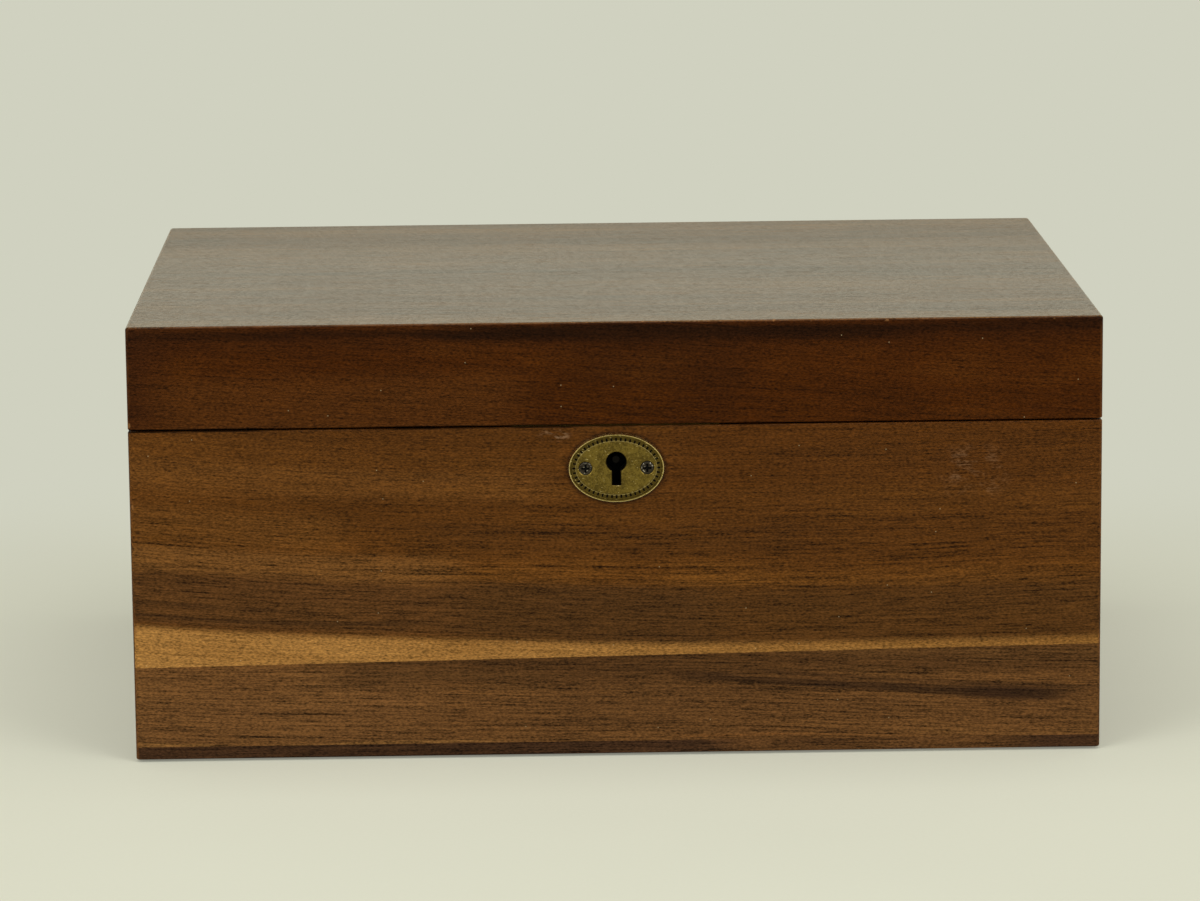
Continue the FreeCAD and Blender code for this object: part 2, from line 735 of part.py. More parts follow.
def strike_plate():
    # Let into the lid a little proud, so that it lands on the selvage and keeps the lid's gap
    body = new_body("strike_plate")
    block(body, "Additive", "plate", ("0 - lock_length / 2", "lock_length / 2"),
          ("selvage_front", "0 - inner_half_depth"), ("rim", "rim + strike_thickness"))
    for end in (-1, 1):
        middle = f"{end} * staple_spacing / 2"
        block(body, "Additive", f"staple_{end + 2}",
              (f"{middle} - staple_thickness / 2", f"{middle} + staple_thickness / 2"),
              ("bolt_middle - staple_width / 2", "bolt_middle + staple_width / 2"),
              ("rim - staple_drop", "rim"))
        block(body, "Subtractive", f"eye_{end + 2}",
              (f"{middle} - staple_thickness", f"{middle} + staple_thickness"),
              ("bolt_middle - staple_eye_width / 2", "bolt_middle + staple_eye_width / 2"),
              ("rim - staple_eye_drop - staple_eye_height", "rim - staple_eye_drop"))
    screw_holes(body, "strike_screws", countersunk=True)
    return body


# Keyhole plate: an oval with a thin raised rim, and a shallow groove with a ring of small pits inside it

def oval(name, inset, level):
    item = doc.addObject("Part::Ellipse", name)
    bind(item, {"MajorRadius": f"plate_width / 2 - ({inset})",
                "MinorRadius": f"plate_height / 2 - ({inset})"})
    return put(item, ("0", f"0 - half_depth - ({level})", "plate_level"), -Y_AXIS)


def oval_slab(name, sections):
    item = doc.addObject("Part::Loft", name)
    item.Sections = [oval(f"{name}_oval", inset, level) for inset, level in sections]
    item.Solid = True
    item.Ruled = True
    return item


def bored(name, base, tool):
    item = doc.addObject("Part::Cut", name)
    item.Base = base
    item.Tool = tool
    return item


def pit_ring():
    # Even steps along the oval, each pit lying across it
    across, up = value("plate_width / 2 - pit_inset"), value("plate_height / 2 - pit_inset")
    length, width, depth = value("pit_length"), value("pit_width"), value("pit_depth")
    steps = [step * math.tau / 3600 for step in range(3601)]
    travelled = [0.0]
    for start, end in zip(steps, steps[1:]):
        travelled.append(travelled[-1] + math.hypot(across * (math.cos(end) - math.cos(start)),
                                                    up * (math.sin(end) - math.sin(start))))
    pits = []
    for number in range(PIT_COUNT):
        goal = travelled[-1] * number / PIT_COUNT
        turn = next(angle for angle, reached in zip(steps, travelled) if reached >= goal)
        lean = math.degrees(math.atan2(across * math.sin(turn), up * math.cos(turn)))
        pit = Part.makeBox(length, width, depth + OVERCUT, FreeCAD.Vector(-length / 2, -width / 2, -depth))
        pit.rotate(FreeCAD.Vector(), Z_AXIS, lean)
        pit.translate(FreeCAD.Vector(across * math.cos(turn), up * math.sin(turn), 0))
        pits.append(pit)
    item = doc.addObject("Part::Feature", "escutcheon_pits")
    item.Shape = Part.makeCompound(pits)
    return put(item, ("0", "plate_face", "plate_level"), -Y_AXIS)


def part_solid(kind, name, sizes, spot, direction=Z_AXIS):
    return put(bind(doc.addObject(f"Part::{kind}", name), sizes), spot, direction)


def ring_groove(edge):
    # Its outer side is the rim's, and its inner side slopes up to the field
    floor = "plate_field - plate_groove"
    whole = oval_slab("escutcheon_groove_outside", [(edge, floor), (edge, "plate_rim")])
    island = oval_slab("escutcheon_groove_inside", [
        (f"{edge} + plate_groove_width - plate_groove", f"{floor} - plate_groove"),
        (f"{edge} + plate_groove_width + plate_groove * 2", "plate_field + plate_groove"),
    ])
    return bored("escutcheon_groove", whole, island)


def keyhole_tools():
    # The keyhole, with its front edges eased
    deep = f"plate_rim + {OVERCUT * 2}"
    front = f"0 - half_depth - plate_rim - {OVERCUT}"
    radius, half = "keyhole_diameter / 2", "keyhole_slot_width / 2"
    foot = "key_level - keyhole_slot_drop"
    slot = {"Length": "keyhole_slot_width", "Width": deep, "Height": "keyhole_slot_drop"}
    eased_round = {"Radius1": f"{radius} + keyhole_ease", "Radius2": radius, "Height": "keyhole_ease"}
    eased_slot = {
        "Xmin": f"0 - {half} - keyhole_ease", "Xmax": f"{half} + keyhole_ease",
        "X2min": f"0 - {half}", "X2max": half,
        "Ymin": "0", "Ymax": "keyhole_ease",
        "Zmin": "0 - keyhole_slot_drop - keyhole_ease", "Zmax": "0",
        "Z2min": "0 - keyhole_slot_drop", "Z2max": "0",
    }
    middle = ("0", "plate_face", "key_level")
    return [
        part_solid("Cylinder", "escutcheon_round", {"Radius": radius, "Height": deep},
                   ("0", front, "key_level"), Y_AXIS),
        part_solid("Box", "escutcheon_slot", slot, (f"0 - {half}", front, foot)),
        part_solid("Cone", "escutcheon_eased_round", eased_round, middle, Y_AXIS),
        part_solid("Wedge", "escutcheon_eased_slot", eased_slot, middle),
    ]


def seat_tools():
    # A countersunk hole for each screw, a little wider at its mouth
    hole, seat = "plate_screw_shank / 2 + screw_clearance", "plate_screw_head / 2 + screw_clearance"
    spots, direction = screw_places("escutcheon_screws")
    tools = []
    for spot in spots:
        bore = {"Radius": hole, "Height": "plate_screw_length"}
        cone = {"Radius1": seat, "Radius2": hole, "Height": "plate_screw_head_depth"}
        mouth = {"Radius1": f"{seat} + plate_seat_mouth", "Radius2": f"{seat} - plate_seat_mouth",
                 "Height": "plate_seat_mouth"}
        tools.append(part_solid("Cylinder", "escutcheon_bore", bore, spot, direction))
        tools.append(part_solid("Cone", "escutcheon_seat", cone, spot, direction))
        tools.append(part_solid("Cone", "escutcheon_mouth", mouth, spot, direction))
    return tools


def escutcheon():
    slab = oval_slab("escutcheon_slab", [("0", "0"), ("plate_bevel", "plate_rim")])
    inner = "plate_bevel + plate_rim_width"
    dish = oval_slab("escutcheon_dish", [(f"{inner} + plate_rim_slope", "plate_field"),
                                         (f"{inner} - plate_rim_slope", "plate_rim * 2 - plate_field")])
    tools = [dish, ring_groove(f"{inner} + plate_rim_slope"), pit_ring(), *keyhole_tools(), *seat_tools()]
    piece = slab
    for number, tool in enumerate(tools, start=1):
        piece = bored(f"escutcheon_cut_{number}", piece, tool)
    piece.Label = "escutcheon"
    return piece


# Screws: one turned shape for each size, repeated by links

def screw_shape(size, cross_drive):
    # Slotted screws are flat on top, and cross-recessed ones are slightly domed
    body = new_body(f"{size}_shape")
    head, shank, length = f"{size}_head / 2", f"{size}_shank / 2", f"{size}_length"
    top = [("0", "0")]
    if cross_drive:
        crown = f"{size}_crown"
        top = [("0", f"0 - {crown}"), (f"{head} * 0.5", f"0 - {crown} * 0.8"),
               (f"{head} * 0.85", f"0 - {crown} * 0.35")]
    profile = [*top, (head, "0"), (shank, f"{size}_head_depth"),
               (shank, f"{length} - screw_tip"), ("0", length)]
    turned = body.newObject("PartDesign::Revolution", f"{size}_turned")
    turned.Profile = outline(body, "half", "XZ_Plane", profile)
    turned.ReferenceAxis = (turned.Profile[0], ["V_Axis"])
    settle(body)
    long_half, short_half = f"({size}_head / 3)", "(screw_drive_width / 2)"
    drives = [(long_half, short_half), (short_half, long_half)] if cross_drive else [(head, short_half)]
    for number, (half_x, half_y) in enumerate(drives, start=1):
        block(body, "Subtractive", f"drive_{number}", (f"0 - {half_x}", half_x), (f"0 - {half_y}", half_y),
              (f"0 - {OVERCUT}", "screw_drive_depth"))
    return body


def screw_group(kind, shape):
    spots, direction = screw_places(kind)
    copies = []
    for number, spot in enumerate(spots, start=1):
        copy = doc.addObject("App::Link", f"{kind}_{number}")
        copy.LinkedObject = shape
        copies.append(put(copy, spot, direction))
    group = doc.addObject("Part::Compound", kind)
    group.Label = kind
    group.Links = copies
    return group


def screws():
    slotted = screw_shape("screw", cross_drive=False)
    crossed = screw_shape("plate_screw", cross_drive=True)
    groups = [screw_group(kind, slotted)
              for kind in ("hinge_body_screws", "hinge_lid_screws", "lock_screws", "strike_screws")]
    return groups + [screw_group("escutcheon_screws", crossed)]


def write(pieces):
    doc.recompute()
    failed = [item.Name for item in doc.Objects if {"Invalid", "Error"} & set(item.State)]
    if failed:
        raise RuntimeError(f"failed objects: {failed}")
    for piece in pieces:
        if piece.Shape.isNull() or not piece.Shape.isValid() or not piece.Shape.Solids:
            raise RuntimeError(f"bad shape: {piece.Label}")
    os.makedirs("parts", exist_ok=True)
    for piece in pieces:
        piece.Shape.exportStep(f"parts/{piece.Label}.step")
        print(f"{piece.Label}: {len(piece.Shape.Solids)} solid(s), {piece.Shape.Volume:.1f} mm3")


write([
    *front_staves(), *plain_walls(), *bottom_and_felts(),
    *lid_rails(), lid_top(),
    *hinges(),
    lock_plate(), lock_case(), key_pin(), lock_bolt(), lock_spring(), strike_plate(),
    escutcheon(), *screws(),
])
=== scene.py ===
import math

import bpy
from mathutils import Matrix, Vector


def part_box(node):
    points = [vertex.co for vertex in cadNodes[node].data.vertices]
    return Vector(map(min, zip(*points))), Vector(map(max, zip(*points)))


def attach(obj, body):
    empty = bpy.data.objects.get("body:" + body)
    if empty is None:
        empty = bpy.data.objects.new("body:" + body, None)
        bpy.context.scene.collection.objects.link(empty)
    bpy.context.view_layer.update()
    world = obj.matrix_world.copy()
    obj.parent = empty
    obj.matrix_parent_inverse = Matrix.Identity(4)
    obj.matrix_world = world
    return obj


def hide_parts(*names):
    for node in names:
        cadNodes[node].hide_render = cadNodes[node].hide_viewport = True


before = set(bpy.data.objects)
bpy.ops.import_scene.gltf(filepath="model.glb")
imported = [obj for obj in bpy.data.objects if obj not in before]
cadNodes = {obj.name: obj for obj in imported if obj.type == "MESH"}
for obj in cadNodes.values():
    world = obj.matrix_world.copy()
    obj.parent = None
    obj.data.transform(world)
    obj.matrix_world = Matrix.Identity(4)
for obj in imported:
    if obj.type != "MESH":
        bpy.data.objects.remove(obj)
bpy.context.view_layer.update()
scene = bpy.context.scene
scene.view_settings.view_transform = "Standard"
mm = 0.001
print("frame loaded:", len(cadNodes), "pieces")

# levels of the box and its half sizes to the mitres' tips, read from the frame
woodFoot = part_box("front_bottom_stave")[0].z
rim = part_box("back_wall")[1].z
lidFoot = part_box("lid_front_rail")[0].z
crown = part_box("lid_top")[1].z
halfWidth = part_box("lid_front_rail")[1].x
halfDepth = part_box("left_wall")[1].y
plateLow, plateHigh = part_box("escutcheon")
plateMiddle = (plateLow + plateHigh) / 2
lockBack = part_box("lock_plate")[1].y


def linear(red, green, blue):  # a colour as seen on screen, 0 to 255, for a shader socket
    channels = [c / 255 for c in (red, green, blue)]
    return tuple(c / 12.92 if c <= 0.04045 else ((c + 0.055) / 1.055) ** 2.4 for c in channels) + (1.0,)


class Wire:  # one socket of a finish, ready for sums
    def __init__(self, finish, socket):
        self.finish = finish
        self.socket = socket

    def sum(self, operation, left, right):
        return self.finish.node("Math", {"operation": operation}, {0: left, 1: right})

    def __add__(self, other):
        return self.sum("ADD", self, other)

    def __radd__(self, other):
        return self.sum("ADD", other, self)

    def __sub__(self, other):
        return self.sum("SUBTRACT", self, other)

    def __rsub__(self, other):
        return self.sum("SUBTRACT", other, self)

    def __mul__(self, other):
        return self.sum("MULTIPLY", self, other)

    def __rmul__(self, other):
        return self.sum("MULTIPLY", other, self)

    def __truediv__(self, other):
        return self.sum("DIVIDE", self, other)


class Finish:  # a material or a world, and its nodes
    def __init__(self, owner):
        owner.use_nodes = True
        self.owner = owner
        self.tree = owner.node_tree
        self.tree.nodes.clear()

    def node(self, kind, settings=None, sockets=None, output=0):
        node = self.tree.nodes.new("ShaderNode" + kind)
        for name, value in (settings or {}).items():
            if name == "stops":
                ramp = node.color_ramp
                while len(ramp.elements) < len(value):
                    ramp.elements.new(1.0)
                for element, (position, colour) in zip(ramp.elements, value):
                    element.position = position
                    element.color = colour
            else:
                setattr(node, name, value)
        for name, value in (sockets or {}).items():
            if isinstance(value, Wire):
                self.tree.links.new(value.socket, node.inputs[name])
            else:
                node.inputs[name].default_value = value
        return Wire(self, node.outputs[output]) if node.outputs else None

    def place(self):  # where a point is on the object, in metres
        spot = self.node("TexCoord", output="Object")
        return [self.node("SeparateXYZ", sockets={"Vector": spot}, output=axis) for axis in "XYZ"]

    def noise(self, x, y, z, detail=2.0, roughness=0.55):
        where = self.node("CombineXYZ", sockets={"X": x, "Y": y, "Z": z})
        return self.node("TexNoise", sockets={"Vector": where, "Scale": 1.0, "Detail": detail,
                                              "Roughness": roughness})

    def lumps(self, spot, perMetre, detail=2.0, roughness=0.55):  # noise with one scale each way
        return self.noise(*[axis * perMetre for axis in spot], detail, roughness)

    def rise(self, value, low, high):  # 0 below low, 1 above high, smooth between
        return self.node("MapRange", {"interpolation_type": "SMOOTHSTEP"},
                         {"Value": value, "From Min": low, "From Max": high})

    def span(self, value, start, end):  # rises over the stretch start, falls over the stretch end
        return self.rise(value, *start) * (1 - self.rise(value, *end))

    def apart(self, value):
        return self.node("Math", {"operation": "ABSOLUTE"}, {0: value})

    def root(self, value):
        return self.node("Math", {"operation": "SQRT"}, {0: value})

    def higher(self, left, right):
        return self.node("Math", {"operation": "MAXIMUM"}, {0: left, 1: right})

    def lower(self, left, right):
        return self.node("Math", {"operation": "MINIMUM"}, {0: left, 1: right})

    def blend(self, share, under, over):
        return self.node("Mix", {"data_type": "RGBA"}, {"Factor": share, 6: under, 7: over}, output=2)

    def spots(self, across, up, perMetre, radius, kept):
        # small round marks on a face, one to a cell, in the share of cells that is kept
        where = self.node("CombineXYZ", sockets={"X": across * perMetre, "Y": up * perMetre})
        flat, sockets = {"voronoi_dimensions": "2D"}, {"Vector": where, "Scale": 1.0}
        cell = self.node("TexVoronoi", flat, sockets, "Color")
        chance = self.node("SeparateColor", sockets={"Color": cell})
        reach = self.node("TexVoronoi", flat, sockets, "Distance")
        near = 1 - self.rise(reach, radius * perMetre * 0.5, radius * perMetre)
        return near * self.rise(chance, 1 - kept, 1 - kept + 0.01)

    def bump(self, strength, distance, height):
        return self.node("Bump", sockets={"Strength": strength, "Distance": distance, "Height": height})

    def surface(self, sockets):
        shader = self.node("BsdfPrincipled", sockets=sockets)
        self.node("OutputMaterial", sockets={"Surface": shader})
        return self.owner


def newFinish(name):
    return Finish(bpy.data.materials.new(name))


def dress(material, *names):  # gives CAD pieces their finish
    for name in names:
        slots = cadNodes[name].data.materials
        if len(slots) == 0:
            slots.append(material)
        for index in range(len(slots)):
            slots[index] = material


# Lacquered walnut. Each board has its own tones and its own stretch of figure.
lacquer = {
    "gloss": 0.4, "specular": 0.02, "coat": 0.45, "coatGloss": 0.26, "coatIor": 1.2,
    "hazeSpread": 0.3, "hazeTint": linear(255, 250, 226),  # the haze is a sheen, for a low angle
    "rough": {"figure": 0.1, "rubbed": 0.12, "pore": 0.08},
    "bump": 0.35, "poreDepth": 0.05 * mm, "relief": {"fibre": 0.35, "pore": 0.8, "cloud": 0.5, "grit": 0.3},
    "coatMix": {"pore": 0.7, "grain": 0.6, "grit": 1.2},
    "topMix": {"sunkFrom": (-0.05, 0.17), "grit": 1.6, "longLine": 0.3, "toBack": 0.4},  # the lid's top
}
figures = {  # cells of noise in a metre along and across the grain, then detail
    "broad": (1.8, 42, 3.0), "streak": (5.5, 240, 3.0), "fibre": (26, 1500, 2.0), "dash": (110, 1900, 1.0),
    "hairline": (13, 1050, 1.0), "cloud": (26, 60, 2.0), "sunk": (380, 330, 1.0),
}
wanders = {"along": 7, "aside": 9, "up": 22, "reach": 5 * mm}  # how the figure strays from straight
gritCells = {"along": 1000, "across": 2600, "slant": 300, "drift": 90}  # in a metre
grainMix = {
    "fibre": 1.9, "dash": 1.7, "pore": 0.25, "longLine": 0.3, "speckle": 2.2, "darkest": 0.12,
    "poreFrom": (0.08, 0.2), "poreFibre": 0.4, "poreBroad": 0.1, "lineFrom": (0.1, 0.22), "lineBroad": 0.25,
    "toneStops": (0.1, 0.5, 0.85),
}
markEdge = {"waver": 6 * mm, "fibre": 0.3, "fade": 12}  # fade in mm at each end
frontSap = {  # the golden edge of the front's upper stave
    # height above the foot is lowest + curve * (x - lowestAt)^2, and one curve turns into the other
    "lowest": 34.2 * mm, "lowestAt": 45 * mm, "curveLeft": 0.213, "curveRight": 0.08,
    "turn": (40 * mm, 50 * mm), "fade": (-0.8 * mm, 2.0 * mm),
    "edgeWander": 1.6 * mm, "edgeFibre": 1.4 * mm, "calm": 0.7,
    "colour": linear(162, 116, 60), "deep": linear(132, 90, 41),
    "toneFrom": (-0.35, 0.3), "toneMix": {"fibre": 0.5, "streak": 0.6, "cloud": 0.5, "toLeft": 1.2},
}
wear = {
    "arris": 0.55 * mm,  # an arris begins this far in from both of its faces
    "rubbed": {"from": (-0.1 * mm, 0.25 * mm), "cells": 90, "pick": (0.42, 0.6), "share": 0.3,
               "colour": linear(120, 74, 36)},
    "nick": {"from": (-0.5 * mm, 0.1 * mm), "cells": 260, "pick": (0.66, 0.72), "share": 0.6,
             "colour": linear(150, 104, 60)},
    # painted shade along the gap between lid and box, patchy and darker to the left; it also takes the coat
    # off there
    "jointShade": {"from": (0.1 * mm, 0.35 * mm), "cells": 60, "pick": (0.45, 0.75), "share": 0.85, "toLeft": 1.5,
              "colour": linear(14, 7, 3)},
    "speck": {"perMetre": 70, "radius": 0.24 * mm, "kept": 0.25, "share": 0.45,
              "colour": linear(190, 170, 130)},
    "scuff": {"slant": (180, 90), "up": 320, "pick": (0.45, 0.62), "grain": (-0.15, 0.25),
              "colour": linear(170, 144, 116)},
    # painted shade: the keyhole's walls black, and a painted contact shadow in a band round the keyhole plate
    "keyhole": {"reach": (8 * mm, 8.5 * mm), "depth": (0.1 * mm, 0.3 * mm), "colour": linear(8, 6, 4)},
    "roundPlate": {"reach": 1.1 * mm, "share": 0.6, "colour": linear(26, 14, 5)},
}
# marks: height above the foot in mm, fall to the right as a slope, width, soft edge, start and end in mm,
# then share and colour. On the upper stave the heights hold where its sapwood is lowest.
# scuffs: place across, height above the foot and reach each way in mm, then strength
walnuts = {
    "upperStave": {
        "nodes": ["front_upper_stave"], "grain": "x", "shift": 0.0,
        "dark": linear(62, 34, 8), "mid": linear(90, 53, 16), "light": linear(116, 73, 26),
        "bands": 0.6, "streaks": 0.5, "sap": frontSap,
        "calm": (66 * mm, 82 * mm), "calmShare": 0.4,  # fewer dashes in the upper part of the board
        "marks": [
            # a darker strip along the top of the board, just under the lid: painted shade
            (103, 0.0, 4, 8, -170, 170, 0.5, linear(74, 41, 9)),
            (96, 0.0, 14, 12, 20, 170, 0.5, linear(82, 44, 9)),
            (90, 0.0, 22, 12, -90, 40, 0.3, linear(70, 38, 8)),
            (84, 0.0, 5, 5, -170, -20, 0.35, linear(114, 73, 31)),
            (80, 0.0, 26, 14, 40, 170, 0.5, linear(76, 43, 12)),
            (67, 0.0, 6, 6, -170, -85, 0.5, linear(104, 66, 26)),
            (67, 0.0, 3, 6, -60, 60, 0.35, linear(70, 41, 14)),
            (56, 0.0, 4, 4, -170, -50, 0.6, linear(114, 76, 36)),
            (44, 0.0, 12, 5, -170, 30, 0.6, linear(78, 51, 26)),
            (43, 0.0, 12, 8, -50, 170, 0.75, linear(72, 45, 18)),
            (39.6, 0.0, 0.3, 1.0, -170, -62, 0.55, linear(40, 24, 10)),
            (43.0, 0.0, 0.2, 1.0, -170, -100, 0.4, linear(44, 27, 12)),
        ],
        "scuffs": [(-19, 101, 6, 3, 0.4), (110, 88, 14, 11, 0.14)],
    },
    "lowerStave": {
        "nodes": ["front_lower_stave"], "grain": "x", "shift": 3.7,
        "dark": linear(60, 36, 15), "mid": linear(98, 64, 31), "light": linear(126, 87, 45),
        "bands": 0.6, "streaks": 0.5, "lean": 0.03,
        "marks": [
            (15, 0.0, 40, 10, -170, -60, 0.3, linear(116, 79, 43)),
            (12, -0.03, 12, 8, -170, 170, 0.25, linear(116, 79, 43)),
            (29, -0.043, 6, 4, -90, 170, 0.5, linear(58, 36, 16)),
            (25.0, 0.02, 0.9, 1.5, 20, 140, 0.75, linear(44, 27, 14)),
            (27.5, 0.02, 0.3, 1.2, 40, 150, 0.5, linear(48, 30, 16)),
            (25.0, 0.02, 2.4, 2.0, 106, 134, 0.65, linear(44, 26, 14)),
            (22, 0.02, 1, 2.5, -40, 60, 0.35, linear(66, 42, 20)),
            (4.4, -0.03, 0.5, 0.5, -152, -40, 0.5, linear(142, 100, 52)),
            (4.6, -0.03, 0.2, 0.4, 20, 90, 0.4, linear(126, 80, 38)),
        ],
    },
    "bottomStave": {
        "nodes": ["front_bottom_stave"], "grain": "x", "shift": 9.1,
        "dark": linear(40, 24, 14), "mid": linear(68, 44, 26), "light": linear(96, 64, 36),
        "bands": 0.5, "streaks": 0.5,
        "marks": [
            (2, 0.0, 10, 2, 34, 124, 0.9, linear(96, 63, 32)),
            (3, 0.0, 1.5, 1, 52, 70, 0.5, linear(60, 38, 20)),
        ],
    },
    "sideWalls": {
        "nodes": ["left_wall", "right_wall"], "grain": "y", "shift": 5.3,
        "dark": linear(60, 33, 8), "mid": linear(90, 53, 16), "light": linear(116, 73, 26),
        "bands": 0.8, "streaks": 0.6,
    },
    "backWall": {
        "nodes": ["back_wall"], "grain": "x", "shift": 12.4,
        "dark": linear(60, 33, 8), "mid": linear(90, 53, 16), "light": linear(116, 73, 26),
        "bands": 0.8, "streaks": 0.6,
    },
    "lidLong": {
        "nodes": ["lid_front_rail", "lid_back_rail"], "grain": "x", "shift": 17.9,
        "dark": linear(43, 18, 2), "mid": linear(66, 31, 3), "light": linear(88, 48, 11),
        "bands": 0.5, "streaks": 0.35, "clouds": 0.6, "contrast": 0.6, "coat": 0.3, "lean": 0.07,
        "marks": [
            (134, -0.07, 2, 9, -170, 170, 0.6, linear(46, 20, 4)),
            (133.2, -0.07, 1.2, 1.6, -170, 170, 0.5, linear(26, 10, 2)),
            (132.4, -0.065, 2.2, 2.2, -60, 90, 0.6, linear(24, 9, 2)),
            (120, -0.07, 40, 8, -170, -140, 0.5, linear(46, 22, 8)),
            (110, -0.07, 12, 8, -140, -30, 0.4, linear(90, 52, 18)),
            (124, -0.07, 10, 8, -15, 40, 0.4, linear(44, 20, 4)),
        ],
    },
    "lidShort": {
        "nodes": ["lid_left_rail", "lid_right_rail"], "grain": "y", "shift": 21.3,
        "dark": linear(43, 18, 2), "mid": linear(66, 31, 3), "light": linear(88, 48, 11),
        "bands": 0.6, "streaks": 0.4, "clouds": 0.6, "contrast": 0.6, "coat": 0.3,
        "marks": [(134, 0.0, 2, 9, -170, 170, 0.5, linear(50, 22, 4))],
    },
    "lidTop": {
        "nodes": ["lid_top"], "grain": "x", "shift": 26.5,
        "dark": linear(44, 24, 8), "mid": linear(80, 50, 18), "light": linear(108, 74, 32),
        "bands": 0.8, "streaks": 0.6, "haze": 0.44, "coat": 0.95, "dullStreaks": 0.25, "lies": True,
    },
}


def plateInset(look, x, z):  # how far in from the keyhole plate's oval outline, in metres
    halfX, halfZ = plateHigh.x - plateMiddle.x, plateHigh.z - plateMiddle.z
    squareX, squareZ = ((value - middle) * (value - middle)
                        for value, middle in ((x, plateMiddle.x), (z, plateMiddle.z)))
    oval = squareX / halfX ** 2 + squareZ / halfZ ** 2
    steep = look.root(squareX / halfX ** 4 + squareZ / halfZ ** 4)
    return (1 - oval) / (steep * 2 + 0.001)  # the last number keeps the middle from a division by 0


def sapClimb(look, x, sap):  # how far the sapwood's upper edge stands above its lowest place
    toRight = look.rise(x, *sap["turn"])
    curve = sap["curveLeft"] + toRight * (sap["curveRight"] - sap["curveLeft"])
    return (x - sap["lowestAt"]) * (x - sap["lowestAt"]) * curve


def wornShare(look, spot, kind, edge):  # patches of one kind of wear along an edge
    patch = look.lumps(spot, kind["cells"])
    if "toLeft" in kind:  # more of it to the left
        patch = patch - spot[0] * kind["toLeft"]
    return look.rise(edge, *kind["from"]) * look.rise(patch, *kind["pick"])


